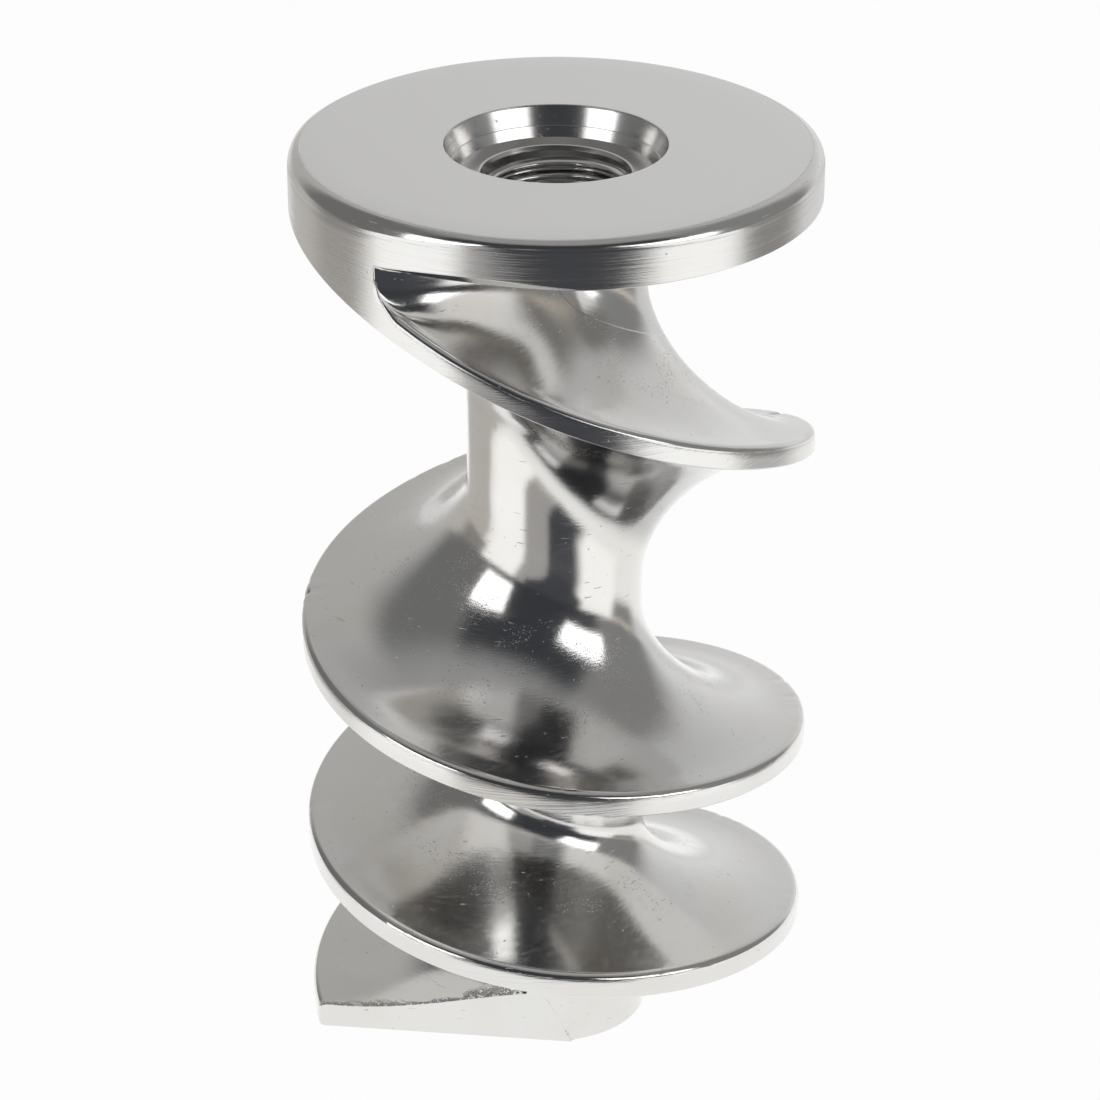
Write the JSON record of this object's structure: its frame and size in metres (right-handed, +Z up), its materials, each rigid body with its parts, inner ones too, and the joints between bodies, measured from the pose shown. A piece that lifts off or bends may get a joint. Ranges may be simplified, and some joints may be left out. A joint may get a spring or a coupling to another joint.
{
  "type": "spiral dough feed worm",
  "caption": "One-piece metal feed worm with a round drive disc, stepped threaded socket, slim core and one left-hand flight that starts steep and settles to an even pitch.",
  "frame": {"origin": "centre of the flat foot, on the worm's axis, where the worm stands", "axes": "+Z up along the worm's axis to the drive disc; the picture looks along +Y, with +X to its right"},
  "size_m": [0.058, 0.058, 0.1087],
  "materials": {
    "worm_metal": "polished casting with turned rim"
  },
  "bodies": {
    "root": {"feed_worm": "worm_metal"}
  },
  "joints": []
}
